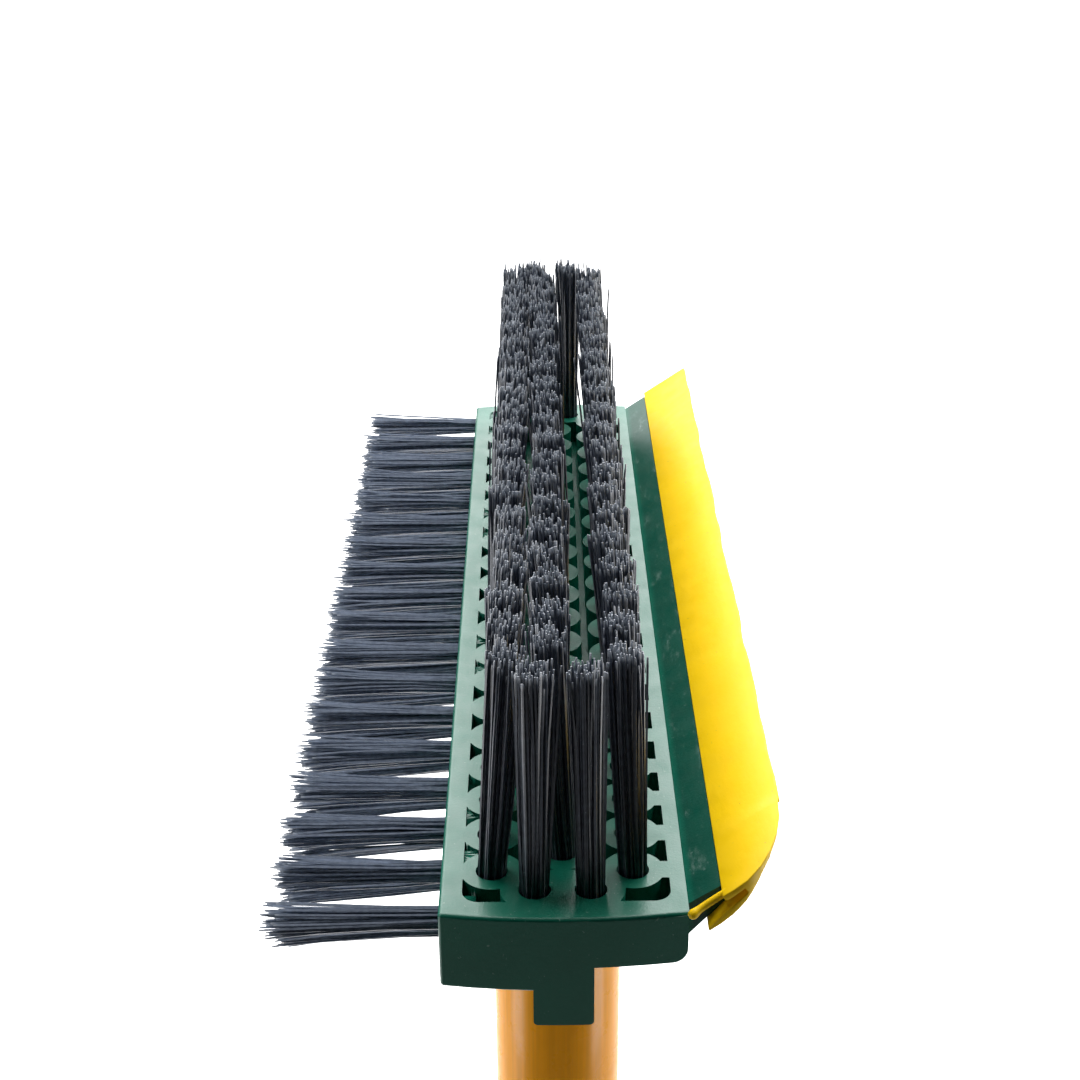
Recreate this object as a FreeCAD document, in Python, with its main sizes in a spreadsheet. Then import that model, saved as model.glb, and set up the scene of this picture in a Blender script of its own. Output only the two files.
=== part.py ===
import FreeCAD, Part
import math
import os
import re
import Sketcher

# Snow broom: a bristle head with a squeegee edge on a pivoting, telescoping pole.
# Z runs up the pole, Y along the head, X across it; the butt of the grip is at Z = 0.

doc = FreeCAD.newDocument("snow_broom")
sheet = doc.addObject("Spreadsheet::Sheet", "dims")

DIMS = (
    # lower handle
    ("cap_long", 24), ("cap_radius", 20), ("cap_plug", 30), ("hang_radius", 4), ("hang_height", 12),
    ("inner_radius", 15.5), ("inner_wall", 1.5), ("inner_top", 690), ("grip_top", 190), ("grip_radius", 20),
    ("cap_pin_radius", 2), ("cap_pin_height", 40),
    ("bush_height", 12), ("bush_radius", 16.92), ("bush_plug", 22), ("bush_bore", 10),
    # upper pole
    ("outer_radius", 18.5), ("outer_wall", 1.5), ("outer_low", 225), ("outer_top", 753),
    ("seat_low", 213), ("seat_top", 245), ("seat_radius", 20.3), ("ring_low", 206), ("ring_radius", 17),
    ("collar_low", 200), ("collar_top", 248), ("collar_radius", 23.6), ("slide_gap", 0.1), ("turn_gap", 0.08),
    # neck and pivot
    ("pivot_height", 800), ("neck_shoulder", 18), ("neck_plug", 48), ("neck_bore", 11), ("tongue_half", 9.7),
    ("tongue_radius", 17), ("rivet_radius", 2), ("rivet_drop", 18),
    ("ear_inner", 10), ("ear_left", 15), ("ear_right", 19), ("ear_radius", 17),
    ("sleeve_radius", 6), ("sleeve_bore", 3.1), ("sleeve_end", 13.5),
    ("button_radius", 8), ("button_well", 8.1), ("button_face", 23), ("button_cap", 5),
    ("stem_radius", 3.04),
    ("screw_radius", 5), ("screw_head", 2.4), ("screw_core", 1.5), ("screw_deep", 12),
    ("coil_radius", 5.2), ("coil_wire", 0.5),
    # head block, heights counted from the top of its rim
    ("head_top", 848), ("head_long", 280), ("head_half", 25), ("left_deep", 18), ("right_deep", 12),
    ("rib_half", 6.15), ("rib_deep", 26.4), ("end_bow", 2), ("rim_left", 4.6), ("rim_right", 3.2),
    ("rim_end", 6), ("well_deep", 7), ("well_round", 3.5),
    ("boss_radius", 6.4), ("web_wide", 5.6), ("corner_round", 3), ("edge_round", 0.9),
    # tufts on top
    ("pitch", 13), ("row_out", 14.5), ("pair_out", 5.7), ("hole_radius", 3.32), ("hole_deep", 9),
    ("root_radius", 3.1), ("tip_radius", 3.95), ("bristle_high", 50),
    ("lean_left", 4.2), ("lean_centre", 2.75), ("lean_right", 3.1), ("lean_pair", 0.3),
    # tufts at the side
    ("side_pitch", 15.6), ("side_upper", 5), ("side_lower", 12.6), ("side_hole", 2.9), ("side_tip", 4.3),
    ("side_root", 2.4), ("side_long", 33.5), ("upper_deep", 6.4), ("lower_deep", 10), ("side_lean", 3.5),
    # wire anchors in the bottoms of the tuft holes
    ("anchor_long", 4), ("anchor_thick", 0.5), ("anchor_high", 2),
    # squeegee and the sloping flange it grips
    ("slope", 34), ("band", 7.5), ("blade_reach", 23.4), ("blade_tip", 1), ("lip", 1.5), ("flange_end", 12),
    ("blade_long", 277), ("blade_corner", 11), ("blade_run", 21), ("flange_long", 270), ("fit_gap", 0.05),
)


NAMES = [row[0] for row in DIMS]
WORD = re.compile(r"[a-z]+(?:_[a-z]+)*")


def expr(text):
    """An expression in the names of the table, with each name turned into its cell."""
    return WORD.sub(lambda word: "dims." + word.group() if word.group() in NAMES else word.group(), text)


for line, (name, size) in enumerate(DIMS, start=1):
    sheet.set("A%d" % line, name)
    sheet.set("B%d" % line, str(size))
    sheet.setAlias("B%d" % line, name)
doc.recompute()


def value(text):
    return float(sheet.evalExpression(expr(text)))


NODES = []


def new_body(name, base=("0", "0", "0")):
    """Start a sub-part whose own origin stands at base."""
    body = doc.addObject("PartDesign::Body", name)
    body.Label = name
    for axis, text in zip("xyz", base):
        if text != "0":
            body.setExpression(".Placement.Base." + axis, expr(text))
    NODES.append(body)
    return body


def plane(body, role):
    return next(item for item in body.Origin.OriginFeatures if item.Role == role)


def new_sketch(body, role, label):
    sketch = body.newObject("Sketcher::SketchObject", body.Name + "_" + label)
    sketch.AttachmentSupport = [(plane(body, role), "")]
    sketch.MapMode = "FlatFace"
    return sketch


def place_point(sketch, index, end, point):
    """Tie one end of a piece of sketch geometry to a point given by two expressions."""
    for kind, text in zip(("DistanceX", "DistanceY"), point):
        row = sketch.addConstraint(Sketcher.Constraint(kind, -1, 1, index, end, value(text)))
        sketch.setExpression("Constraints[%d]" % row, expr(text))


def polygon(sketch, points):
    """Closed outline through points, each a pair of expressions."""
    spots = [FreeCAD.Vector(value(a), value(b), 0) for a, b in points]
    first = sketch.GeometryCount
    count = len(spots)
    for number in range(count):
        sketch.addGeometry(Part.LineSegment(spots[number], spots[(number + 1) % count]), False)
    for number in range(count):
        sketch.addConstraint(Sketcher.Constraint(
            "Coincident", first + number, 2, first + (number + 1) % count, 1))
    for number, point in enumerate(points):
        place_point(sketch, first + number, 1, point)


def circle(sketch, centre, radius):
    index = sketch.addGeometry(Part.Circle(FreeCAD.Vector(value(centre[0]), value(centre[1]), 0),
                                           FreeCAD.Vector(0, 0, 1), value(radius)), False)
    place_point(sketch, index, 3, centre)
    row = sketch.addConstraint(Sketcher.Constraint("Radius", index, value(radius)))
    sketch.setExpression("Constraints[%d]" % row, expr(radius))


def feature(body, kind, sketch, label):
    item = body.newObject("PartDesign::" + kind, body.Name + "_" + label)
    item.Profile = sketch
    return item


def pad(body, sketch, length, label, both_ways=False, back=False):
    item = feature(body, "Pad", sketch, label)
    item.setExpression("Length", expr(length))
    item.Midplane = both_ways
    item.Reversed = back
    return item


def pocket(body, sketch, length, label, both_ways=False, back=False):
    item = feature(body, "Pocket", sketch, label)
    item.setExpression("Length", expr(length))
    item.Midplane = both_ways
    item.Reversed = back
    return item


def turned(name, points, axis="V_Axis", base=("0", "0", "0")):
    """Body turned about the pole (V_Axis) or about the pivot's line (H_Axis)."""
    body = new_body(name, base)
    sketch = new_sketch(body, "XZ_Plane", "outline")
    polygon(sketch, points)
    item = feature(body, "Revolution", sketch, "turn")
    item.ReferenceAxis = (sketch, [axis])
    return body


def cross_hole(body, role, centre, radius, length, label):
    sketch = new_sketch(body, role, label)
    circle(sketch, centre, radius)
    return pocket(body, sketch, length, label + "_cut", both_ways=True)


def ring_points(inner, outer, low, high):
    return [(inner, low), (outer, low), (outer, high), (inner, high)]


def along_y(body, original, pitch, count, label, start=None):
    """Repeat features along the head and make the pattern the body's tip."""
    item = body.newObject("PartDesign::LinearPattern", body.Name + "_" + label)
    item.Originals = original
    item.Direction = (plane(body, "Y_Axis"), [""])
    item.setExpression("Length", expr("%s * %d" % (pitch, count - 1)))
    item.Occurrences = count
    body.Tip = item
    return item


# ---------------------------------------------------------------- lower handle
def lower_handle():
    cap = turned("end_cap", [
        ("0", "0"), ("cap_radius - 2", "0"), ("cap_radius", "2"), ("cap_radius", "cap_long"),
        ("inner_radius - inner_wall", "cap_long"), ("inner_radius - inner_wall", "cap_long + cap_plug"),
        ("0", "cap_long + cap_plug")])
    cross_hole(cap, "XZ_Plane", ("0", "hang_height"), "hang_radius", "cap_radius * 3", "hang")
    cross_hole(cap, "YZ_Plane", ("0", "cap_pin_height"), "cap_pin_radius", "cap_radius * 3", "pins")

    tube = turned("inner_tube",
                  ring_points("inner_radius - inner_wall", "inner_radius", "cap_long", "inner_top"))
    cross_hole(tube, "YZ_Plane", ("0", "cap_pin_height"), "cap_pin_radius", "cap_radius * 3", "pins")

    turned("foam_grip", [
        ("inner_radius", "cap_long"), ("grip_radius - 2", "cap_long"), ("grip_radius", "cap_long + 2"),
        ("grip_radius", "grip_top - 8"), ("grip_radius - 0.8", "grip_top - 4"),
        ("grip_radius - 3", "grip_top"),
        ("inner_radius", "grip_top")])

    turned("guide_bush", [
        ("bush_bore", "inner_top - bush_plug"), ("inner_radius - inner_wall", "inner_top - bush_plug"),
        ("inner_radius - inner_wall", "inner_top"), ("bush_radius", "inner_top"),
        ("bush_radius", "inner_top + bush_height - 1"), ("bush_radius - 1", "inner_top + bush_height"),
        ("bush_bore", "inner_top + bush_height")])

    pins = new_body("cap_pins", ("0", "0", "cap_pin_height"))
    for side in (1, -1):
        sketch = new_sketch(pins, "YZ_Plane", "pin" + "ab"[side > 0])
        circle(sketch, ("0", "0"), "cap_pin_radius")
        item = pad(pins, sketch, "6", "pin_body" + "ab"[side > 0], back=side < 0)
        sketch.setExpression(".AttachmentOffset.Base.z", expr("(inner_radius - 6.2) * %d" % side))


# ---------------------------------------------------------------- upper pole
def upper_pole():
    tube = turned("outer_tube",
                  ring_points("outer_radius - outer_wall", "outer_radius", "outer_low", "outer_top"))
    cross_hole(tube, "YZ_Plane", ("0", "outer_top - rivet_drop"), "rivet_radius", "60", "riveting")

    turned("lock_seat", [
        ("inner_radius + slide_gap", "seat_low"), ("seat_radius - 1", "seat_low"),
        ("seat_radius", "seat_low + 1"),
        ("seat_radius", "seat_top"), ("outer_radius", "seat_top"), ("outer_radius", "outer_low"),
        ("inner_radius + slide_gap", "outer_low")])

    ring = turned("clamp_ring", [
        ("inner_radius + slide_gap", "ring_low"), ("ring_radius", "ring_low"),
        ("ring_radius + 1", "seat_low - 1"),
        ("ring_radius + 1", "seat_low"), ("inner_radius + slide_gap", "seat_low")])
    split = new_sketch(ring, "XY_Plane", "split")
    polygon(split, [("10", "-0.8"), ("24", "-0.8"), ("24", "0.8"), ("10", "0.8")])
    split.setExpression(".AttachmentOffset.Base.z", expr("ring_low - 5"))
    pocket(ring, split, "20", "split_cut", back=True)

    collar = turned("twist_collar", [
        ("inner_radius + 0.8", "collar_low"), ("collar_radius - 2", "collar_low"),
        ("collar_radius", "collar_low + 2"),
        ("collar_radius", "collar_top - 2"), ("collar_radius - 1.5", "collar_top"),
        ("seat_radius + turn_gap", "collar_top"), ("seat_radius + turn_gap", "seat_low - 1.5"),
        ("ring_radius + 1.4", "seat_low - 3.5"), ("ring_radius + 0.5", "ring_low - 0.6"),
        ("inner_radius + 0.8", "ring_low - 0.6")])
    flute = new_sketch(collar, "XY_Plane", "flute")
    circle(flute, ("collar_radius + 1.6", "0"), "2.6")
    flute.setExpression(".AttachmentOffset.Base.z", expr("collar_low + 5"))
    cut = pocket(collar, flute, "collar_top - collar_low - 10", "flute_cut", back=True)
    spread = collar.newObject("PartDesign::PolarPattern", "twist_collar_flutes")
    spread.Originals = [cut]
    spread.Axis = (plane(collar, "Z_Axis"), [""])
    spread.Angle = 360
    spread.Occurrences = 18
    collar.Tip = spread


# ---------------------------------------------------------------- neck and pivot
def neck_and_pivot():
    neck = turned("neck", [
        ("0", "-neck_shoulder"), ("outer_radius - 1", "-neck_shoulder"),
        ("outer_radius", "-neck_shoulder - 1"),
        ("outer_radius", "outer_top - pivot_height"),
        ("outer_radius - outer_wall", "outer_top - pivot_height"),
        ("outer_radius - outer_wall", "outer_top - pivot_height - neck_plug"),
        ("neck_bore", "outer_top - pivot_height - neck_plug"), ("neck_bore", "-neck_shoulder - 12"),
        ("0", "-neck_shoulder - 12")], base=("0", "0", "pivot_height"))
    side = new_sketch(neck, "YZ_Plane", "side")
    polygon(side, [("-14", "-neck_shoulder - 1"), ("14", "-neck_shoulder - 1"), ("tongue_radius", "0"),
                   ("-tongue_radius", "0")])
    pad(neck, side, "tongue_half * 2", "tongue_web", both_ways=True)
    disc = new_sketch(neck, "YZ_Plane", "disc")
    circle(disc, ("0", "0"), "tongue_radius")
    pad(neck, disc, "tongue_half * 2", "tongue_disc", both_ways=True)
    cross_hole(neck, "YZ_Plane", ("0", "0"), "sleeve_radius + turn_gap", "tongue_half * 4", "pivot")
    cross_hole(neck, "YZ_Plane", ("0", "outer_top - pivot_height - rivet_drop"), "rivet_radius", "60",
               "riveting")

    rivets = new_body("neck_rivets", ("0", "0", "outer_top - rivet_drop"))
    for side_sign, tag in ((1, "right"), (-1, "left")):
        for start, stop, radius, part in (("neck_bore", "outer_radius", "rivet_radius", "shank"),
                                          ("outer_radius - 0.1", "outer_radius + 1.2", "rivet_radius * 2",
                                           "dome")):
            sketch = new_sketch(rivets, "YZ_Plane", part + tag)
            circle(sketch, ("0", "0"), radius)
            sketch.setExpression(".AttachmentOffset.Base.z", expr("(%s) * %d" % (start, side_sign)))
            pad(rivets, sketch, "(%s) - (%s)" % (stop, start), part + "_pad" + tag, back=side_sign < 0)

    pivot = ("0", "0", "pivot_height")
    turned("pivot_sleeve", [
        ("-ear_left", "sleeve_bore"), ("sleeve_end", "sleeve_bore"), ("sleeve_end", "sleeve_radius"),
        ("-ear_left", "sleeve_radius")], axis="H_Axis", base=pivot)
    turned("pivot_button", [
        ("-ear_left", "screw_core"), ("-ear_left + screw_deep", "screw_core"),
        ("-ear_left + screw_deep", "0"),
        ("button_face", "0"), ("button_face", "button_radius - 1"), ("button_face - 1", "button_radius"),
        ("button_face - button_cap", "button_radius"), ("button_face - button_cap", "stem_radius"),
        ("-ear_left", "stem_radius")], axis="H_Axis", base=pivot)
    turned("pivot_screw", [
        ("-ear_left - screw_head", "0"), ("-ear_left - screw_head", "screw_radius - 1"),
        ("-ear_left - screw_head + 1", "screw_radius"), ("-ear_left - slide_gap", "screw_radius"),
        ("-ear_left - slide_gap", "screw_core"), ("-ear_left + screw_deep", "screw_core"),
        ("-ear_left + screw_deep", "0")], axis="H_Axis", base=pivot)


def pivot_spring():
    """Short coil spring between the well's floor and the underside of the button."""
    coil = doc.addObject("Part::Helix", "spring_line")
    coil.setExpression("Radius", expr("coil_radius"))
    coil.setExpression("Height", expr("button_face - button_cap - sleeve_end - coil_wire * 2.4"))
    coil.setExpression("Pitch", expr("(button_face - button_cap - sleeve_end - coil_wire * 2.4) / 3"))
    wire = doc.addObject("Part::RegularPolygon", "spring_wire")
    wire.Polygon = 6
    wire.setExpression("Circumradius", expr("coil_wire"))
    wire.setExpression(".Placement.Base.x", expr("coil_radius"))
    wire.Placement.Rotation = FreeCAD.Rotation(FreeCAD.Vector(1, 0, 0), 90)
    sweep = doc.addObject("Part::Sweep", "pivot_spring")
    sweep.Sections = [wire]
    sweep.Spine = (coil, ["Edge1"])
    sweep.Solid = True
    sweep.Label = "pivot_spring"
    sweep.Placement.Rotation = FreeCAD.Rotation(FreeCAD.Vector(0, 1, 0), 90)
    sweep.setExpression(".Placement.Base.x", expr("sleeve_end + coil_wire * 1.2"))
    sweep.setExpression(".Placement.Base.z", expr("pivot_height"))
    NODES.append(sweep)


# ---------------------------------------------------------------- head block
def end_outline(sketch):
    """Outline seen from above whose two short ends bow outward."""
    across, along, rise = value("head_half"), value("head_long") / 2, value("end_bow")
    corners = []
    for sign in (1, -1):
        ends = [FreeCAD.Vector(-across * sign, sign * (along - rise), 0),
                FreeCAD.Vector(0, sign * along, 0),
                FreeCAD.Vector(across * sign, sign * (along - rise), 0)]
        sketch.addGeometry(Part.Arc(*ends), False)
        corners.append(ends)
    sketch.addGeometry(Part.LineSegment(corners[0][2], corners[1][0]), False)
    sketch.addGeometry(Part.LineSegment(corners[1][2], corners[0][0]), False)


def well_outline(sketch):
    """Outline of the sunk middle of the head, with round corners."""
    left, right = value("-head_half + rim_left"), value("head_half - rim_right")
    end, turn = value("head_long / 2 - rim_end"), value("well_round")
    corners = ((right - turn, end - turn), (left + turn, end - turn),
               (left + turn, turn - end), (right - turn, turn - end))
    arcs = []
    for number, (across, along) in enumerate(corners):
        round_corner = Part.Circle(FreeCAD.Vector(across, along, 0), FreeCAD.Vector(0, 0, 1), turn)
        arcs.append(Part.ArcOfCircle(round_corner, number * math.pi / 2, (number + 1) * math.pi / 2))
        sketch.addGeometry(arcs[-1], False)
    for number in range(4):
        sketch.addGeometry(Part.LineSegment(arcs[number].EndPoint, arcs[(number + 1) % 4].StartPoint), False)


def edge_names(feature_shape, test):
    return ["Edge%d" % (number + 1) for number, edge in enumerate(feature_shape.Edges) if test(edge)]


def round_edges(body, base, names, radius, label):
    item = body.newObject("PartDesign::Fillet", body.Name + "_" + label)
    item.Base = (base, names)
    item.setExpression("Radius", expr(radius))
    return item


def rounded(body, base, corners, radius, label):
    """Round the long edges that run along the head through the given corners of its profile."""
    doc.recompute()
    spots = [(value(across), value(height)) for across, height in corners]

    def near(edge):
        box = edge.BoundBox
        return box.YLength > value("head_long") / 2 and any(
            abs(box.Center.x - x) < 0.1 and abs(box.Center.z - z) < 0.1 for x, z in spots)

    return round_edges(body, base, edge_names(base.Shape, near), radius, label)


def rounded_ends(body, base, radius, label):
    """Round the top edges of the two bowed end faces."""
    doc.recompute()
    box = base.Shape.BoundBox

    def near(edge):
        own = edge.BoundBox
        return (own.ZLength < 0.1 and abs(own.ZMax - box.ZMax) < 0.05
                and own.XLength > value("head_half") * 0.8)

    return round_edges(body, base, edge_names(base.Shape, near), radius, label)


def head_block():
    head = new_body("head_block", ("0", "0", "head_top"))
    outline = new_sketch(head, "XZ_Plane", "profile")
    polygon(outline, [
        ("-head_half", "0"), ("-head_half", "-left_deep"), ("-rib_half", "-left_deep"),
        ("-rib_half", "-rib_deep"),
        ("rib_half", "-rib_deep"), ("rib_half", "-right_deep"), ("head_half", "-right_deep"),
        ("head_half", "0")])
    pad(head, outline, "head_long", "block", both_ways=True)

    bow = new_sketch(head, "XY_Plane", "bow")
    polygon(bow, [("-60", "-head_long"), ("60", "-head_long"), ("60", "head_long"), ("-60", "head_long")])
    end_outline(bow)
    cut = pocket(head, bow, "120", "bow_cut", both_ways=True)
    cut = rounded(head, cut, [("head_half", "-right_deep")], "corner_round", "right_round")
    cut = rounded(head, cut,
                  [("-head_half", "-left_deep"), ("-rib_half", "-rib_deep"), ("rib_half", "-rib_deep"),
                              ("-head_half", "0")], "edge_round", "edge_rounds")
    rounded_ends(head, cut, "edge_round", "end_rounds")

    flange = new_sketch(head, "XZ_Plane", "flange")
    polygon(flange, [("head_half - 3", "-0.01")] + slope_points([
        ("0", "0"), ("band", "0"), ("band", "-lip"), ("flange_end", "-lip"), ("flange_end", "-2.7"),
        ("7", "-3.3")]) + [("head_half", "-7.8"), ("head_half - 3", "-7.8")])
    pad(head, flange, "flange_long", "flange_pad", both_ways=True)

    well = new_sketch(head, "XY_Plane", "well")
    well_outline(well)
    pocket(head, well, "well_deep", "well_cut")

    bosses = new_sketch(head, "XY_Plane", "bosses")
    for side in ("-", ""):
        circle(bosses, (side + "row_out", "-pitch * 9.5"), "boss_radius")
    outer = pad(head, bosses, "well_deep + 0.5", "boss_pads", back=True)
    webs = new_sketch(head, "XY_Plane", "webs")
    for side in (-1, 1):
        near = "row_out * %d" % side
        far = "-head_half + rim_left - 0.5" if side < 0 else "head_half - rim_right + 0.5"
        polygon(webs, [(near, "-pitch * 9.5 - web_wide / 2"), (far, "-pitch * 9.5 - web_wide / 2"),
                       (far, "-pitch * 9.5 + web_wide / 2"), (near, "-pitch * 9.5 + web_wide / 2")])
    web = pad(head, webs, "well_deep + 0.5", "web_pads", back=True)
    along_y(head, [outer, web], "pitch", 20, "outer_bosses")

    middle = new_sketch(head, "XY_Plane", "middle")
    circle(middle, ("0", "-pitch * 9"), "boss_radius")
    centre = pad(head, middle, "well_deep + 0.5", "centre_pad", back=True)
    along_y(head, [centre], "pitch", 19, "centre_bosses")

    for across in ("-pair_out", "pair_out", "0"):
        for end in ("-", ""):
            pairs = new_sketch(head, "XY_Plane", "pairs")
            circle(pairs, (across, end + "(pitch * 10)"), "boss_radius + 0.6")
            pad(head, pairs, "well_deep + 0.5", "pair_pad", back=True)
    bridge = new_sketch(head, "XY_Plane", "bridge")
    for end in ("-", ""):
        polygon(bridge, [("-pair_out", end + "(pitch * 10)"), ("pair_out", end + "(pitch * 10)"),
                         ("pair_out", end + "(head_long / 2 - rim_end + 1)"),
                         ("-pair_out", end + "(head_long / 2 - rim_end + 1)")])
    pad(head, bridge, "well_deep + 0.5", "bridge_pad", back=True)

    slots = new_sketch(head, "YZ_Plane", "side_bosses")
    circle(slots, ("-side_pitch * 8.5", "-side_upper"), "side_hole + 1.5")
    slots.setExpression(".AttachmentOffset.Base.z", expr("-head_half + upper_deep + 1"))
    horizontal = pad(head, slots, "upper_deep - 1", "side_boss_pad", back=True)
    along_y(head, [horizontal], "side_pitch", 18, "side_boss_row")

    ears = new_sketch(head, "YZ_Plane", "ears")
    polygon(ears, [("-ear_radius", "pivot_height - head_top"), ("ear_radius", "pivot_height - head_top"),
                   ("ear_radius", "-right_deep + 1"), ("-ear_radius", "-right_deep + 1")])
    ears.setExpression(".AttachmentOffset.Base.z", expr("-ear_left"))
    pad(head, ears, "ear_left + ear_right", "ear_web")
    lobes = new_sketch(head, "YZ_Plane", "lobes")
    circle(lobes, ("0", "pivot_height - head_top"), "ear_radius")
    lobes.setExpression(".AttachmentOffset.Base.z", expr("-ear_left"))
    pad(head, lobes, "ear_left + ear_right", "ear_lobe")
    gap = new_sketch(head, "XZ_Plane", "gap")
    polygon(gap,
            [("-ear_inner", "-80"), ("ear_inner", "-80"), ("ear_inner", "pivot_height - head_top + 18.6"),
                  ("-ear_inner", "pivot_height - head_top + 18.6")])
    pocket(head, gap, "80", "gap_cut", both_ways=True)
    cross_hole(head, "YZ_Plane", ("0", "pivot_height - head_top"), "sleeve_radius", "60", "pivot")
    button_well = new_sketch(head, "YZ_Plane", "button_well")
    circle(button_well, ("0", "pivot_height - head_top"), "button_well")
    button_well.setExpression(".AttachmentOffset.Base.z", expr("sleeve_end"))
    pocket(head, button_well, "20", "button_well_cut", back=True)

    tuft_holes(head)


def slope_points(points):
    """Points given along and square to the sloping flange, from the rim's outer top edge."""
    return [("head_half + (%s) * cos(slope * 1deg) - (%s) * sin(slope * 1deg)" % (along, off),
             "(%s) * sin(slope * 1deg) + (%s) * cos(slope * 1deg)" % (along, off)) for along, off in points]


TOP_ROWS = (  # name, across, lean toward +X in degrees, first place along the head, how many
    ("top_tufts_left", "-row_out", "lean_left", "-pitch * 9.5", 20),
    ("top_tufts_centre", "0", "-lean_centre", "-pitch * 9", 19),
    ("top_tufts_right", "row_out", "-lean_right", "-pitch * 9.5", 20),
)
SIDE_ROWS = (  # name, height, droop in degrees, depth of hole, first place along the head, how many
    ("side_tufts_upper", "-side_upper", "0", "upper_deep", "-side_pitch * 8.5", 18),
    ("side_tufts_lower", "-side_lower", "side_lean", "lower_deep", "-side_pitch * 8", 17),
)
END_TUFTS = (("-pair_out", -1, "-lean_pair"), ("pair_out", -1, "-lean_pair"),
             ("-pair_out", 1, "-lean_pair"), ("pair_out", 1, "-lean_pair"))


def lean(item, base, angle):
    """Stand a primitive at base, turned about the Y axis."""
    for axis, text in zip("xyz", base):
        item.setExpression(".AttachmentOffset.Base." + axis, expr(text))
    item.setExpression(".AttachmentOffset.Rotation.Axis.x", "0")
    item.setExpression(".AttachmentOffset.Rotation.Axis.y", "1")
    item.setExpression(".AttachmentOffset.Rotation.Axis.z", "0")
    item.setExpression(".AttachmentOffset.Rotation.Angle", expr(angle))


def primitive(body, kind, label, base, angle, sizes):
    item = body.newObject("PartDesign::" + kind, body.Name + "_" + label)
    item.AttachmentSupport = [(plane(body, "XY_Plane"), "")]
    item.MapMode = "FlatFace"
    for name, text in sizes:
        item.setExpression(name, expr(text))
    lean(item, base, angle)
    return item


def foot(across, height, angle, deep):
    """Bottom of a leaning hole whose axis crosses the surface at across, height."""
    return ("(%s) - (%s) * sin((%s) * 1deg)" % (across, deep, angle),
            "(%s) - (%s) * cos((%s) * 1deg)" % (height, deep, angle))


def tuft_holes(head):
    for name, across, angle, first, count in TOP_ROWS:
        x, z = foot(across, "0", angle, "hole_deep")
        hole = primitive(head, "SubtractiveCylinder", name + "_hole", (x, first, z), angle,
                         [("Radius", "hole_radius"), ("Height", "hole_deep + 3")])
        along_y(head, [hole], "pitch", count, name + "_holes")
    for number, (across, end, angle) in enumerate(END_TUFTS):
        x, z = foot(across, "0", angle, "hole_deep")
        primitive(head, "SubtractiveCylinder", "pair_hole%d" % number, (x, "pitch * 10 * %d" % end, z),
                  angle,
                  [("Radius", "hole_radius"), ("Height", "hole_deep + 3")])
    for name, height, droop, deep, first, count in SIDE_ROWS:
        angle = "-90 - (%s)" % droop
        x, z = foot("-head_half", height, angle, deep)
        hole = primitive(head, "SubtractiveCylinder", name + "_hole", (x, first, z), angle,
                         [("Radius", "side_hole"), ("Height", "(%s) + 3" % deep)])
        along_y(head, [hole], "side_pitch", count, name + "_holes")


def tufts():
    for name, across, angle, first, count in TOP_ROWS:
        body = new_body(name, ("0", "0", "head_top"))
        x, z = foot(across, "0", angle, "hole_deep")
        cone = primitive(body, "AdditiveCone", "tuft", (x, first, z), angle,
                         [("Radius1", "root_radius"), ("Radius2", "tip_radius"),
                          ("Height", "hole_deep + bristle_high")])
        along_y(body, [cone], "pitch", count, "row")
    for end, name in ((-1, "top_tufts_near_end"), (1, "top_tufts_far_end")):
        body = new_body(name, ("0", "0", "head_top"))
        for number, (across, place, angle) in enumerate(END_TUFTS):
            if place == end:
                x, z = foot(across, "0", angle, "hole_deep")
                primitive(body, "AdditiveCone", "tuft%d" % number, (x, "pitch * 10 * %d" % end, z), angle,
                          [("Radius1", "root_radius"), ("Radius2", "tip_radius"),
                           ("Height", "hole_deep + bristle_high")])
    for name, height, droop, deep, first, count in SIDE_ROWS:
        body = new_body(name, ("0", "0", "head_top"))
        angle = "-90 - (%s)" % droop
        x, z = foot("-head_half", height, angle, deep)
        cone = primitive(body, "AdditiveCone", "tuft", (x, first, z), angle,
                         [("Radius1", "side_root"), ("Radius2", "side_tip"),
                          ("Height", "(%s) + side_long" % deep)])
        along_y(body, [cone], "side_pitch", count, "row")


def anchors():
    """Flat wire pieces that pin the folded bristles to the bottoms of the holes."""
    body = new_body("top_anchors", ("0", "0", "head_top"))
    for name, across, angle, first, count in TOP_ROWS:
        x, z = foot(across, "0", angle, "hole_deep")
        box = primitive(body, "AdditiveBox", name, (x + " - anchor_thick / 2", first + " - anchor_long", z),
                        "0",
                        [("Length", "anchor_thick"), ("Width", "anchor_long * 2"),
                         ("Height", "anchor_high")])
        along_y(body, [box], "pitch", count, name + "_row")
    for number, (across, end, angle) in enumerate(END_TUFTS):
        x, z = foot(across, "0", angle, "hole_deep")
        primitive(body, "AdditiveBox", "pair%d" % number,
                  (x + " - anchor_thick / 2", "pitch * 10 * %d - anchor_long" % end, z), "0",
                  [("Length", "anchor_thick"), ("Width", "anchor_long * 2"), ("Height", "anchor_high")])
    side = new_body("side_anchors", ("0", "0", "head_top"))
    for name, height, droop, deep, first, count in SIDE_ROWS:
        x, z = foot("-head_half", height, "-90 - (%s)" % droop, deep)
        box = primitive(side, "AdditiveBox", name, (x + " - anchor_high", first + " - anchor_long * 0.8",
                                                    z + " - anchor_thick / 2"), "0",
                        [("Length", "anchor_high"), ("Width", "anchor_long * 1.6"),
                         ("Height", "anchor_thick")])
        along_y(side, [box], "side_pitch", count, name + "_row")


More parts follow.
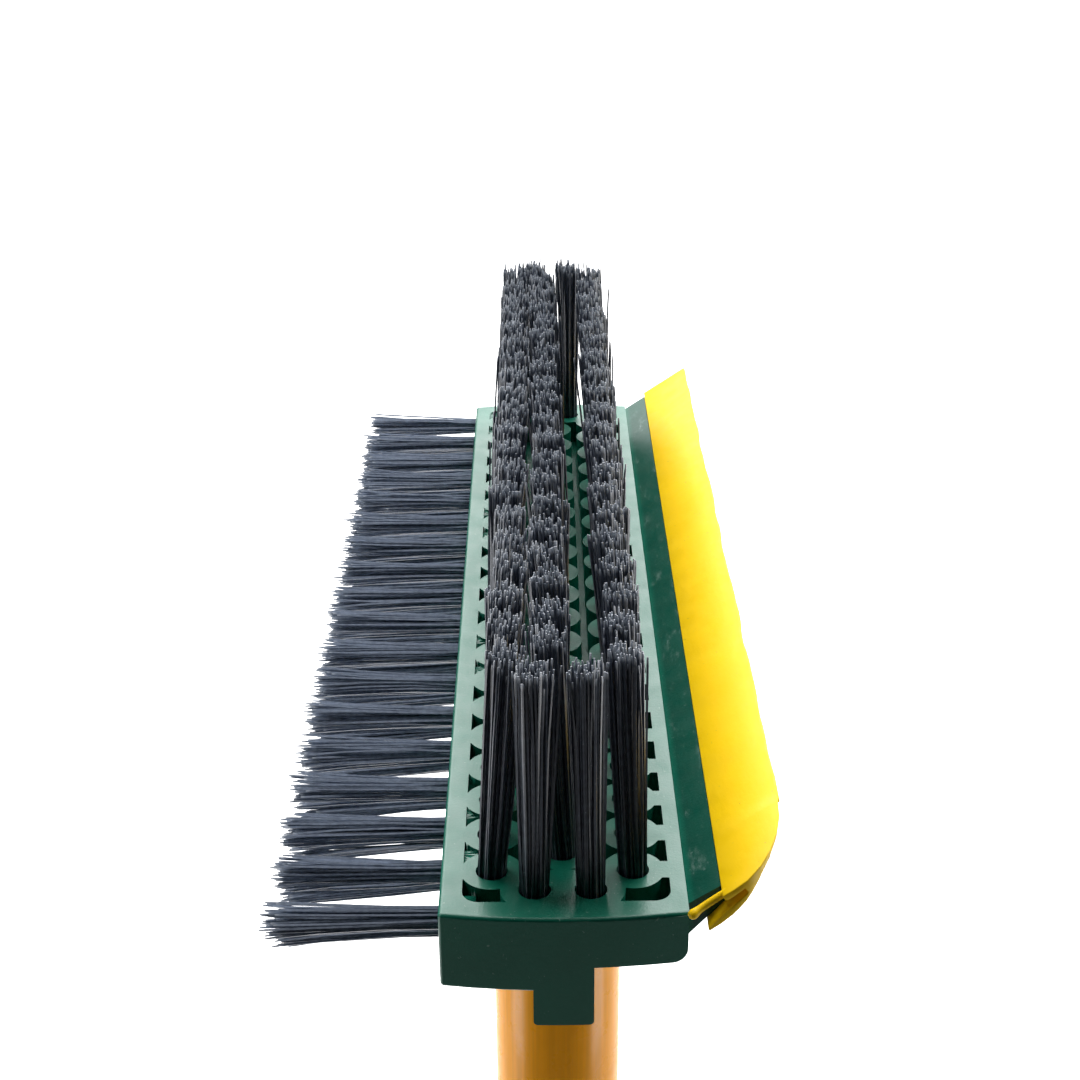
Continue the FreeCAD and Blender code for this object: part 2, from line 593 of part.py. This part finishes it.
def squeegee():
    body = new_body("squeegee", ("0", "0", "head_top"))
    outline = new_sketch(body, "XZ_Plane", "profile")
    polygon(outline, slope_points([
        ("band + fit_gap", "0"), ("blade_reach", "0"), ("blade_reach", "-blade_tip"), ("19", "-1.5"),
        ("15.6", "-2.3"), ("12.5", "-3.7"), ("8.6", "-4.8"), ("4", "-5.6"), ("1", "-5.8"),
        ("1", "-5.2"), ("7", "-3.3 - fit_gap"), ("flange_end + fit_gap", "-2.7 - fit_gap"),
        ("flange_end + fit_gap", "-lip + fit_gap"), ("band + fit_gap", "-lip + fit_gap")]))
    pad(body, outline, "blade_long", "blade", both_ways=True)
    corners = new_sketch(body, "XY_Plane", "corners")
    reach, end = "head_half + blade_reach * cos(slope * 1deg)", "-(blade_long / 2)"
    curve = [("%s - blade_corner * (1 - cos(%ddeg))" % (reach, turn),
              "%s + blade_run * (1 - sin(%ddeg))" % (end, turn)) for turn in range(0, 91, 15)]
    polygon(corners, curve + [(reach + " - blade_corner", end + " - 2"), (reach + " + 2", end + " - 2"),
                              (reach + " + 2", end + " + blade_run")])
    pocket(body, corners, "120", "corner_cut", both_ways=True)


lower_handle()
upper_pole()
neck_and_pivot()
pivot_spring()
head_block()
tufts()
anchors()
squeegee()
doc.recompute()

for item in doc.Objects:
    if "Invalid" in item.State or "Error" in item.State:
        raise RuntimeError("%s: %s" % (item.Label, item.State))
os.makedirs("parts", exist_ok=True)
for node in NODES:
    shape = node.Shape
    if shape.isNull() or not shape.isValid() or not shape.Solids:
        raise RuntimeError("bad shape: " + node.Label)
    shape.exportStep("parts/%s.step" % node.Label)
    box = shape.BoundBox
    print("%-20s solids %3d  volume %9.1f  x %.1f..%.1f  y %.1f..%.1f  z %.1f..%.1f" % (
        node.Label, len(shape.Solids), shape.Volume, box.XMin, box.XMax, box.YMin, box.YMax, box.ZMin,
        box.ZMax))
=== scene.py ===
import math
import random

import bpy
from mathutils import Matrix, Vector


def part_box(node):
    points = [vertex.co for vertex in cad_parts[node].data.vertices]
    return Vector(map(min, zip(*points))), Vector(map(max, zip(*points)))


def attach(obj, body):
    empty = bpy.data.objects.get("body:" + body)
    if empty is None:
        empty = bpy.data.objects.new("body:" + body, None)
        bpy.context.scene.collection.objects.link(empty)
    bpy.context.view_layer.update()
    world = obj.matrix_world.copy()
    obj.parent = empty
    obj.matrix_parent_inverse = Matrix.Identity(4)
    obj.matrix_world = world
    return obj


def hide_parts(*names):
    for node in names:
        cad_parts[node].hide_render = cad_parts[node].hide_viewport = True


# Looks of a snow broom: filament tufts, moulded green head, yellow squeegee, amber pole, foam grip.
# Metres. Z runs up the pole, Y along the head, X across it.

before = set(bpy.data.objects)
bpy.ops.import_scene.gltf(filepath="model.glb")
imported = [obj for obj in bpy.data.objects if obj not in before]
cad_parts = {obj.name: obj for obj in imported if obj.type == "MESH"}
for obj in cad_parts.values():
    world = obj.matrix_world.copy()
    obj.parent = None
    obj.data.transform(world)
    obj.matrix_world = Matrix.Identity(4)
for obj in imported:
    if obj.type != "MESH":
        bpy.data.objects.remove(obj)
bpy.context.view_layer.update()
MM = 0.001

BRISTLE_HIGH = 51.5 * MM
HEAD_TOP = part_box("top_tufts_left")[1].z - 50 * MM          # top of the head's rim, 50 mm below the tuft tips
HEAD_HALF = 25 * MM
SLOPE = math.radians(34)                    # rise of the squeegee and its flange
BOW_START = 137.5 * MM                      # the head's ends bow outward from here
BOW_RADIUS = 157.25 * MM
END_FACING, SAME_WAY = 0.97, 0.99996        # cosines: a face of a bowed end, a face that counts as flat
FLATS = (Vector((1, 0, 0)), Vector((0, 1, 0)), Vector((0, 0, 1)),
         Vector((-math.sin(SLOPE), 0, math.cos(SLOPE))),
         Vector((math.cos(SLOPE), 0, math.sin(SLOPE))))

# rows of tufts, as in the head's holes
PITCH = 13 * MM
SIDE_PITCH = 15.6 * MM
ROWS = (  # piece, across, tip across, how many
    ("top_tufts_left", -14.5 * MM, -10.8 * MM, 20),
    ("top_tufts_centre", 0.0, -2.4 * MM, 19),
    ("top_tufts_right", 14.5 * MM, 11.8 * MM, 20),
)
PAIR_OUT = 5.7 * MM
PAIRS = (("top_tufts_near_end", -1), ("top_tufts_far_end", 1))
SIDE_ROWS = (  # piece, below the rim, droop, how many
    ("side_tufts_upper", 5.0 * MM, 0.0, 18),
    ("side_tufts_lower", 12.6 * MM, math.radians(3.5), 17),
)
SIDE_LONG = 34.8 * MM
SINK = 2 * MM                               # how far the bristles start below the hole's mouth
TUFT_RADIUS, TUFT_FAN = 2.85 * MM, 1.36     # tuft at the root, and how much wider at the tip
SIDE_RADIUS, SIDE_FAN = 2.35 * MM, 1.62
WALL = 1.5 * MM                             # of both tubes
FILAMENT = 0.27 * MM                        # radius of one bristle
FILAMENTS = 84
SIDE_FILAMENTS = 60
RINGS = (0.0, 0.36, 0.72, 0.965, 1.0)       # places of a bristle's rings along its length
TIP_START = 0.78                            # start of the pale tips, a painted highlight, on the bristle's own length coordinate


# ---------------------------------------------------------------- selection and mesh helpers
def only(obj):
    bpy.ops.object.select_all(action="DESELECT")
    obj.select_set(True)
    bpy.context.view_layer.objects.active = obj
    return obj


def edit(obj, *steps):
    """Run edit-mode steps on the whole of a mesh."""
    only(obj)
    bpy.ops.object.mode_set(mode="EDIT")
    bpy.ops.mesh.select_all(action="SELECT")
    for step in steps:
        step()
    bpy.ops.object.mode_set(mode="OBJECT")
    return obj


def merge():
    bpy.ops.mesh.remove_doubles(threshold=1e-6)


def flatten():
    bpy.ops.mesh.dissolve_limited(angle_limit=math.radians(0.5))


def apply_modifier(obj, kind, **settings):
    only(obj)
    modifier = obj.modifiers.new(kind.lower(), kind)
    for name, value in settings.items():
        setattr(modifier, name, value)
    bpy.ops.object.modifier_apply(modifier=modifier.name)
    return obj


def soften(obj, angle=30):
    only(obj)
    bpy.ops.object.shade_smooth_by_angle(angle=math.radians(angle))
    return obj


def finish_piece(obj, name, nodes, body, material):
    """Name a piece, give it its material, and let it stand for its CAD nodes."""
    obj.name = obj.data.name = name
    obj.data.materials.clear()
    obj.data.materials.append(material)
    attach(obj, body)
    if nodes:
        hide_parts(*nodes)
    return obj


def copy_of(node):
    """A merged copy of a CAD node, to be finished as a piece of its own."""
    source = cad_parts[node]
    mesh = source.data.copy()
    mesh.materials.clear()
    obj = bpy.data.objects.new(node + "_copy", mesh)
    bpy.context.scene.collection.objects.link(obj)
    return edit(obj, merge)


# ---------------------------------------------------------------- materials
class Nodes:
    """Short way of writing one material's nodes."""

    def __init__(self, name):
        self.material = bpy.data.materials.new(name)
        self.material.use_nodes = True
        self.tree = self.material.node_tree
        self.shader = self.tree.nodes["Principled BSDF"]
        self.place = self.add("ShaderNodeTexCoord").outputs["Object"]

    def add(self, kind, **sockets):
        node = self.tree.nodes.new(kind)
        for name, value in sockets.items():
            self.feed(node.inputs[name.replace("_", " ")], value)
        return node

    def feed(self, socket, value):
        if isinstance(value, bpy.types.NodeSocket):
            self.tree.links.new(value, socket)
        else:
            socket.default_value = value

    def noise(self, scale, detail=4.0, roughness=0.6, stretch=(1, 1, 1)):
        placed = self.add("ShaderNodeMapping", Vector=self.place, Scale=stretch).outputs["Vector"]
        node = self.add("ShaderNodeTexNoise", Vector=placed, Scale=scale, Detail=detail, Roughness=roughness)
        return node.outputs["Fac"]

    def ramp(self, value, low, high, start=0.0, stop=1.0):
        node = self.add("ShaderNodeMapRange", Value=value)
        for name, number in (("From Min", low), ("From Max", high), ("To Min", start), ("To Max", stop)):
            node.inputs[name].default_value = number
        return node.outputs["Result"]

    def mix(self, factor, one, two):
        node = self.tree.nodes.new("ShaderNodeMix")
        node.data_type = "RGBA"
        self.feed(node.inputs["Factor"], factor)
        self.feed(node.inputs[6], one)
        self.feed(node.inputs[7], two)
        return node.outputs[2]

    def times(self, one, two):
        node = self.tree.nodes.new("ShaderNodeMath")
        node.operation = "MULTIPLY"
        self.feed(node.inputs[0], one)
        self.feed(node.inputs[1], two)
        return node.outputs[0]

    def axis(self, letter):
        return self.add("ShaderNodeSeparateXYZ", Vector=self.place).outputs[letter]

    def bump(self, height, strength, distance):
        return self.add("ShaderNodeBump", Height=height, Strength=strength,
                        Distance=distance).outputs["Normal"]

    def surface(self, **sockets):
        for name, value in sockets.items():
            self.feed(self.shader.inputs[name.replace("_", " ")], value)
        return self.material


def moulded(name, colour, rough, dust=0.25, dust_colour=(0.45, 0.55, 0.50, 1)):
    """Moulded plastic: slight colour drift, fine texture, and pale scuffs and dust."""
    n = Nodes(name)
    drift = n.mix(n.noise(60), tuple(c * 0.8 for c in colour) + (1,), tuple(c * 1.25 for c in colour) + (1,))
    scuffs = n.ramp(n.noise(420, 6, 0.75, (1, 0.25, 1)), 0.60, 0.78)
    patches = n.ramp(n.noise(45, 3), 0.45, 0.7)
    colour_out = n.mix(n.times(n.times(scuffs, patches), dust), drift, dust_colour)
    grain = n.noise(1800, 3, 0.6)
    return n.surface(Base_Color=colour_out,
                     Roughness=n.ramp(n.noise(150), 0.3, 0.7, rough - 0.06, rough + 0.1),
                     Normal=n.bump(grain, 0.25, 0.00012), Specular_IOR_Level=0.5)


def head_green(name):
    """The head's green moulding, painted darker on the sloping flange as shade, with pale dust and fine
    scratches lying on the flange.
    """
    n = Nodes(name)
    drift = n.mix(n.noise(60), (0.0, 0.088, 0.054, 1), (0.0, 0.128, 0.080, 1))
    over_flange = n.ramp(n.axis("X"), HEAD_HALF + 0.5 * MM, HEAD_HALF + 1.5 * MM)
    streaks = n.ramp(n.noise(330, 8, 0.8, (1, 0.3, 1)), 0.56, 0.70)
    dust = n.times(n.times(streaks, n.ramp(n.noise(70, 3), 0.42, 0.62)), n.times(over_flange, 0.55))
    # painted shade: the flange is coloured a darker green than the rest of the same moulding
    green_with_painted_flange_shade = n.mix(over_flange, drift, (0.0, 0.066, 0.042, 1))
    dusty = n.mix(dust, green_with_painted_flange_shade, (0.42, 0.54, 0.49, 1))
    specks = n.times(n.ramp(n.noise(1100, 2), 0.70, 0.74), 0.25)
    marked = n.mix(specks, dusty, (0.40, 0.52, 0.46, 1))
    grain = n.noise(1500, 3, 0.6)
    return n.surface(Base_Color=marked, Roughness=n.ramp(n.noise(150), 0.3, 0.7, 0.30, 0.42),
                     Normal=n.bump(grain, 0.3, 0.00015), Specular_IOR_Level=0.55)


def rubber(name, colour):
    n = Nodes(name)
    drift = n.mix(n.noise(80, 5), colour + (1,), tuple(c * 0.90 for c in colour) + (1,))
    pits = n.ramp(n.noise(900, 2, 0.5), 0.70, 0.76)
    marked = n.mix(n.times(pits, 0.5), drift, (0.45, 0.34, 0.02, 1))
    height = n.noise(500, 5, 0.7, (1, 0.5, 1))
    return n.surface(Base_Color=marked, Roughness=n.ramp(n.noise(200), 0.3, 0.7, 0.40, 0.55),
                     Normal=n.bump(height, 0.35, 0.0002), Specular_IOR_Level=0.25)


def lacquer(name, colour):
    """Clear amber lacquer over brushed tube."""
    n = Nodes(name)
    lines = n.noise(900, 3, 0.5, (1, 1, 0.02))
    tone = n.mix(n.ramp(lines, 0.35, 0.65), tuple(c * 0.88 for c in colour) + (1,), colour + (1,))
    return n.surface(Base_Color=tone, Roughness=n.ramp(n.noise(120), 0.3, 0.7, 0.25, 0.34), Coat_Weight=0.1,
                     Coat_Roughness=0.08, Specular_IOR_Level=0.3, Normal=n.bump(n.noise(300), 0.05, 0.0002))


def metal(name, colour, rough):
    n = Nodes(name)
    lines = n.noise(1500, 3, 0.5, (1, 1, 0.05))
    tone = n.mix(lines, tuple(c * 0.85 for c in colour) + (1,), colour + (1,))
    return n.surface(Base_Color=tone, Metallic=1.0,
                     Roughness=n.ramp(lines, 0.2, 0.8, rough - 0.06, rough + 0.08))


def foam_skin(name):
    n = Nodes(name)
    cells = n.add("ShaderNodeTexVoronoi", Vector=n.place, Scale=900.0).outputs["Distance"]
    # painted shade: the foam is coloured darker in the dents that the same cells press into the bump
    tone = n.mix(n.ramp(cells, 0.0, 0.8), (0.012, 0.012, 0.014, 1), (0.04, 0.04, 0.043, 1))
    return n.surface(Base_Color=tone, Roughness=0.85, Normal=n.bump(cells, 0.6, 0.0004))


def filament(name, dark, light):
    """Charcoal bristle with a cool sheen, specks of dust and pale tips that are a painted highlight."""
    n = Nodes(name)
    length = n.add("ShaderNodeSeparateXYZ", Vector=n.add("ShaderNodeTexCoord").outputs["UV"]).outputs["X"]
    tone = n.mix(n.noise(700, 2), dark, light)
    specks = n.ramp(n.noise(2600, 2, 0.5), 0.72, 0.76)
    dusty = n.mix(n.times(specks, 0.55), tone, (0.55, 0.60, 0.66, 1))
    # painted highlight: the filament turns paler towards its tip
    painted_tip_highlight = n.mix(n.ramp(length, TIP_START, 0.95, 0.0, 0.75), dusty, (0.52, 0.56, 0.62, 1))
    return n.surface(Base_Color=painted_tip_highlight, Roughness=0.34, Specular_IOR_Level=0.55)


HEAD_GREEN = head_green("head_moulding")
GREEN = moulded("green_moulding", (0.0, 0.105, 0.064), 0.36, 0.35)
BLACK = moulded("black_moulding", (0.016, 0.016, 0.018), 0.45, 0.15, (0.2, 0.2, 0.2, 1))
WHITE = moulded("white_moulding", (0.72, 0.72, 0.69), 0.4, 0.1)
BUTTON = moulded("yellow_moulding", (0.90, 0.66, 0.01), 0.35, 0.1)
YELLOW = rubber("yellow_rubber", (0.97, 0.62, 0.0))
AMBER = lacquer("amber_lacquer", (1.0, 0.39, 0.0))
BARE = metal("satin_tube", (0.78, 0.78, 0.80), 0.32)
STEEL = metal("plated_steel", (0.62, 0.62, 0.62), 0.28)
FOAM = foam_skin("foam_skin")
BRISTLE = filament("bristle", (0.030, 0.037, 0.050, 1), (0.105, 0.125, 0.165, 1))
# painted light: the side bristles are the same filament coloured lighter, standing in for the light and
# highlights they catch
SIDE_BRISTLE_PAINTED_LIGHT = filament("side_bristle_painted_light", (0.095, 0.115, 0.155, 1), (0.33, 0.385, 0.49, 1))


# ---------------------------------------------------------------- tufts
def bundle(curve, chance, root, axis, length, radius, count, fan):
    """Add one tuft's bristles to a curve: packed at the root, fanned and uneven at the tip."""
    side = axis.orthogonal().normalized()
    other = axis.cross(side)
    turn = chance.random() * math.tau
    for number in range(count):
        out = math.sqrt(0.05 + 0.95 * (number + 0.5) / count)
        angle = turn + number * 2.39996 + chance.uniform(-0.25, 0.25)
        away = side * math.cos(angle) + other * math.sin(angle)
        stray = chance.gauss(0, 0.45 * MM) if chance.random() > 0.03 else chance.uniform(-2.5, 2.5) * MM
        reach = length + chance.gauss(0, 0.9 * MM) - chance.random() ** 3 * 3 * MM
        low = root + away * (out * radius)
        high = root + away * (out * radius * fan + stray) + axis * reach
        bow = (side * chance.gauss(0, 0.35) + other * chance.gauss(0, 0.35)) * MM
        spline = curve.splines.new("POLY")
        spline.points.add(len(RINGS) - 1)
        for point, place in zip(spline.points, RINGS):
            spot = low.lerp(high, place) + bow * math.sin(place * math.pi) - away * (
                out * radius * (fan - 1) * 0.5 * math.sin(place * math.pi) * 0.6)
            point.co = (*spot, 1)
            point.radius = 1.0 if place < 0.99 else 0.7


def tuft_piece(name, tufts, count, material):
    """One piece of bristles; tufts are (root, axis, length, radius, fan)."""
    chance = random.Random(name)
    curve = bpy.data.curves.new(name, "CURVE")
    curve.dimensions = "3D"
    curve.bevel_depth = FILAMENT
    curve.bevel_resolution = 0
    curve.use_fill_caps = True
    for root, axis, length, radius, fan in tufts:
        bundle(curve, chance, root, axis, length, radius, count, fan)
    obj = bpy.data.objects.new(name, curve)
    bpy.context.scene.collection.objects.link(obj)
    only(obj)
    bpy.ops.object.convert(target="MESH")
    edit(obj, merge)
    soften(obj, 60)
    finish_piece(obj, name + "_bristles", [name], "head", material)


def upright(across, tip_across, along, chance):
    """Root, axis, length, radius and fan of one top tuft."""
    axis = Vector((tip_across - across + chance.gauss(0, 0.5) * MM, chance.gauss(0, 0.5) * MM,
                   BRISTLE_HIGH)).normalized()
    root = Vector((across, along, HEAD_TOP)) - axis * SINK
    return root, axis, BRISTLE_HIGH / axis.z + SINK, TUFT_RADIUS, TUFT_FAN


def top_tufts():
    chance = random.Random(7)
    for name, across, tip, count in ROWS:
        places = [(number - (count - 1) / 2) * PITCH for number in range(count)]
        tuft_piece(name, [upright(across, tip, along, chance) for along in places], FILAMENTS,
                   BRISTLE)
    for name, end in PAIRS:
        along = end * PITCH * 10
        tuft_piece(name,
                   [upright(side * PAIR_OUT, side * PAIR_OUT - 0.3 * MM, along, chance) for side in (-1, 1)],
                   FILAMENTS, BRISTLE)


def side_tufts():
    chance = random.Random(11)
    for name, below, droop, count in SIDE_ROWS:
        tufts = []
        for number in range(count):
            axis = Vector((-math.cos(droop), chance.gauss(0, 0.012),
                           -math.sin(droop) + chance.gauss(0, 0.01)))
            axis.normalize()
            root = Vector((-HEAD_HALF + SINK, (number - (count - 1) / 2) * SIDE_PITCH, HEAD_TOP - below))
            tufts.append((root, axis, SIDE_LONG + SINK, SIDE_RADIUS, SIDE_FAN))
        tuft_piece(name, tufts, SIDE_FILAMENTS, SIDE_BRISTLE_PAINTED_LIGHT)


# ---------------------------------------------------------------- moulded and rubber pieces
def true_normal(face, centre):
    """The exact normal of a flat or of the head's bowed end, or None on a round."""
    if BOW_START < abs(centre.y) and abs(face.y) > END_FACING:
        lean = centre.x / BOW_RADIUS
        return Vector((lean, math.copysign(math.sqrt(1 - lean * lean), face.y), 0))
    return face if any(abs(face.dot(way)) > SAME_WAY for way in FLATS) else None


def crisp_flats(obj):
    """Give flats and bowed ends their exact normals, so that no shading leaks in from the rounds."""
    mesh = obj.data
    normals = [corner.vector.copy() for corner in mesh.corner_normals]
    for polygon in mesh.polygons:
        for loop in polygon.loop_indices:
            spot = mesh.vertices[mesh.loops[loop].vertex_index].co
            exact = true_normal(polygon.normal, spot)
            if exact is not None:
                normals[loop] = exact
    mesh.normals_split_custom_set(normals)


def moulded_copy(node, piece, body, material):
    """Copy of a CAD node with smooth rounds and crisp flats."""
    obj = soften(copy_of(node), 24)
    apply_modifier(obj, "WEIGHTED_NORMAL", keep_sharp=True, weight=80)
    if node == "head_block":
        crisp_flats(obj)
    return finish_piece(obj, piece, [node], body, material)


def squeegee():
    """Rubber wedge with a slightly wavy outer edge."""
    obj = copy_of("squeegee")
    low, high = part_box("squeegee")
    edit(obj, flatten)
    cuts = 56
    for number in range(1, cuts):
        along = low.y + (high.y - low.y) * number / cuts
        edit(obj, lambda: bpy.ops.mesh.bisect(plane_co=(0, along, 0), plane_no=(0, 1, 0)))
    chance = random.Random(3)
    waves = [(chance.uniform(60, 420), chance.random() * math.tau,
              chance.uniform(0.03, 0.12) * MM) for _ in range(9)]
    reach = high.x - low.x
    for vertex in obj.data.vertices:
        share = max(0.0, (vertex.co.x - low.x) / reach - 0.35) / 0.65
        drift = sum(size * math.sin(vertex.co.y * turns + start) for turns, start, size in waves)
        vertex.co += Vector((math.cos(SLOPE), 0, math.sin(SLOPE))) * (drift * share)
        vertex.co.z += share * drift * 0.6
    apply_modifier(obj, "BEVEL", width=0.3 * MM, segments=2, limit_method="ANGLE",
                   angle_limit=math.radians(40))
    apply_modifier(obj, "TRIANGULATE")
    soften(obj, 40)
    finish_piece(obj, "squeegee_blade", ["squeegee"], "head", YELLOW)


def end_lip():
    """Strip of rubber that returns along the flange's near end to the corner of the head, with a bead."""
    along = Vector((math.cos(SLOPE), 0, math.sin(SLOPE)))
    off = Vector((-math.sin(SLOPE), 0, math.cos(SLOPE)))
    root = Vector((HEAD_HALF, 0, HEAD_TOP))
    curve = bpy.data.curves.new("lip", "CURVE")
    curve.dimensions = "3D"
    curve.bevel_depth = 0.8 * MM
    curve.bevel_resolution = 3
    curve.use_fill_caps = True
    spline = curve.splines.new("POLY")
    path = (  # millimetres out along the flange, off it, and from the head's middle; then the thickness
            (8.5, -0.9, 136.6, 1.0), (6.0, -0.8, 137.0, 1.0), (4.0, -0.7, 137.4, 1.0),
            (2.0, -0.6, 137.9, 1.0), (1.2, -0.5, 138.3, 1.2), (0.6, -0.4, 138.6, 1.35),
            (0.1, -0.4, 138.9, 1.2), (-0.3, -0.4, 139.1, 0.7),
            (-0.4, -0.4, 139.15, 0.2))
    spline.points.add(len(path) - 1)
    for point, (out, up, place, thick) in zip(spline.points, path):
        point.co = (*(root + along * out * MM + off * up * MM - Vector((0, place * MM, 0))), 1)
        point.radius = thick
    obj = bpy.data.objects.new("lip", curve)
    bpy.context.scene.collection.objects.link(obj)
    only(obj)
    bpy.ops.object.convert(target="MESH")
    edit(obj, merge)
    soften(obj, 50)
    finish_piece(obj, "squeegee_lip", [], "head", YELLOW)


# ---------------------------------------------------------------- pole and grip
def foam_grip():
    """Foam sleeve: soft shoulders and shallow finger waves."""
    low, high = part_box("foam_grip")
    radius = (high.x - low.x) / 2
    bore = (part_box("inner_tube")[1].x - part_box("inner_tube")[0].x) / 2
    long = high.z - low.z
    bpy.ops.object.select_all(action="DESELECT")
    bpy.ops.mesh.primitive_cylinder_add(vertices=96, radius=radius, depth=long,
                                        location=(0, 0, (low.z + high.z) / 2),
                                        end_fill_type="NOTHING")
    obj = bpy.context.object
    bpy.ops.object.transform_apply(location=True)
    rings = 48
    for number in range(1, rings):
        height = low.z + long * number / rings
        edit(obj, lambda: bpy.ops.mesh.bisect(plane_co=(0, 0, height), plane_no=(0, 0, 1)))
    for vertex in obj.data.vertices:
        place = (vertex.co.z - low.z) / long
        end = min(vertex.co.z - low.z, high.z - vertex.co.z)
        shoulder = 2.2 * MM * max(0.0, 1 - end / (6 * MM)) ** 2
        wave = 0.5 * MM * (0.5 - 0.5 * math.cos(place * math.tau * 5)) if 0.1 < place < 0.9 else 0.0
        scale = (radius - shoulder - wave) / radius
        vertex.co.x *= scale
        vertex.co.y *= scale
    apply_modifier(obj, "SOLIDIFY", thickness=radius - bore - 2.2 * MM, offset=-1)
    edit(obj, lambda: bpy.ops.mesh.normals_make_consistent(inside=False))
    soften(obj, 50)
    finish_piece(obj, "foam_grip_sleeve", ["foam_grip"], "lower_handle", FOAM)


def round_tube(node, piece, body, material):
    """Finely turned tube in place of the coarse one, with its ends eased."""
    low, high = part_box(node)
    radius = (high.x - low.x) / 2
    bpy.ops.object.select_all(action="DESELECT")
    bpy.ops.mesh.primitive_cylinder_add(vertices=128, radius=radius, depth=high.z - low.z,
                                        location=(0, 0, (low.z + high.z) / 2), end_fill_type="NOTHING")
    obj = bpy.context.object
    bpy.ops.object.transform_apply(location=True)
    apply_modifier(obj, "SOLIDIFY", thickness=WALL, offset=-1)
    apply_modifier(obj, "BEVEL", width=0.25 * MM, segments=2, limit_method="ANGLE",
                   angle_limit=math.radians(50))
    soften(obj, 40)
    return finish_piece(obj, piece, [node], body, material)


# ---------------------------------------------------------------- floor, light, camera
def stage():
    bpy.ops.object.select_all(action="DESELECT")
    bpy.ops.mesh.primitive_plane_add(size=60, location=(0, 20, -0.002))
    floor = bpy.context.object
    bpy.ops.object.transform_apply(location=True)
    floor.name = "floor"
    n = Nodes("floor_painted_dark_in_front")
    # painted shade: the floor is coloured dark in front of the head and pale behind it, for floor that gets
    # little light
    tone = n.mix(n.ramp(n.axis("Y"), -0.4, 0.7), (0.16, 0.16, 0.16, 1), (0.92, 0.92, 0.92, 1))
    floor.data.materials.append(n.surface(Base_Color=tone, Roughness=0.9))


def area(name, place, target, size, power, colour=(1, 1, 1)):
    light = bpy.data.lights.new(name, "AREA")
    light.shape = "RECTANGLE"
    light.size, light.size_y = size
    light.energy = power
    light.color = colour
    obj = bpy.data.objects.new(name, light)
    bpy.context.scene.collection.objects.link(obj)
    obj.location = place
    obj.rotation_euler = (Vector(target) - Vector(place)).to_track_quat("-Z", "Y").to_euler()


def lights():
    world = bpy.data.worlds.new("studio")
    world.use_nodes = True
    tree = world.node_tree
    way = tree.nodes.new("ShaderNodeSeparateXYZ")
    tree.links.new(tree.nodes.new("ShaderNodeTexCoord").outputs["Generated"], way.inputs[0])
    glow = tree.nodes.new("ShaderNodeMapRange")
    for name, number in (("From Min", -0.1), ("From Max", 0.5), ("To Min", 0.05), ("To Max", 0.9)):
        glow.inputs[name].default_value = number
    tree.links.new(way.outputs["Y"], glow.inputs["Value"])
    tree.links.new(glow.outputs["Result"], tree.nodes["Background"].inputs["Strength"])
    bpy.context.scene.world = world
    bpy.context.scene.view_settings.view_transform = "Standard"
    head = (0, 0, HEAD_TOP)
    area("back_softbox", (0.0, 3.4, 3.2), (0.0, 3.0, 0.0), (8.0, 6.0), 900)
    area("top_softbox", (0.3, 0.3, 2.6), head, (1.2, 1.2), 6)
    area("left_fill", (-1.6, 0.2, 1.7), head, (1.0, 1.0), 6)
    pole = (0, 0, HEAD_TOP - 0.2)
    area("pole_left", (-0.9, -0.3, 0.45), pole, (0.4, 0.4), 3)
    area("pole_right", (0.9, -0.3, 0.45), pole, (0.4, 0.4), 3)


def camera():
    """Close view from above one end of the head, looking along it and down."""
    data = bpy.data.cameras.new("camera")
    data.sensor_width = 36
    data.lens = 59.7
    obj = bpy.data.objects.new("camera", data)
    bpy.context.scene.collection.objects.link(obj)
    place = Vector((-4.0 * MM, -426 * MM, HEAD_TOP + 220 * MM))
    turn = Matrix.Rotation(math.radians(64.4), 4, "X") @ Matrix.Rotation(math.radians(-0.5), 4, "Z")
    obj.matrix_world = Matrix.Translation(place) @ turn
    bpy.context.scene.camera = obj


moulded_copy("head_block", "head_moulding", "head", HEAD_GREEN)
top_tufts()
side_tufts()
squeegee()
end_lip()
round_tube("outer_tube", "outer_tube_lacquered", "upper_pole", AMBER)
round_tube("inner_tube", "inner_tube_bare", "lower_handle", BARE)
foam_grip()
for node, piece, body, material, slot in (
        ("neck", "neck_moulding", "upper_pole", GREEN, "green_plastic"),
        ("twist_collar", "twist_collar_moulding", "collar", GREEN, "green_plastic"),
        ("end_cap", "end_cap_moulding", "lower_handle", BLACK, "black_plastic"),
        ("lock_seat", "lock_seat_moulding", "upper_pole", BLACK, "black_plastic"),
        ("pivot_button", "pivot_button_moulding", "button", BUTTON, "button_plastic")):
    moulded_copy(node, piece, body, material)
CARRIED = {"clamp_ring": WHITE, "guide_bush": BLACK, "cap_pins": STEEL, "neck_rivets": STEEL,
           "pivot_sleeve": STEEL, "pivot_spring": STEEL, "pivot_screw": STEEL, "top_anchors": STEEL,
           "side_anchors": STEEL}
for node, material in CARRIED.items():
    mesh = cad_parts[node].data
    mesh.materials.clear()
    mesh.materials.append(material)
stage()
lights()
camera()
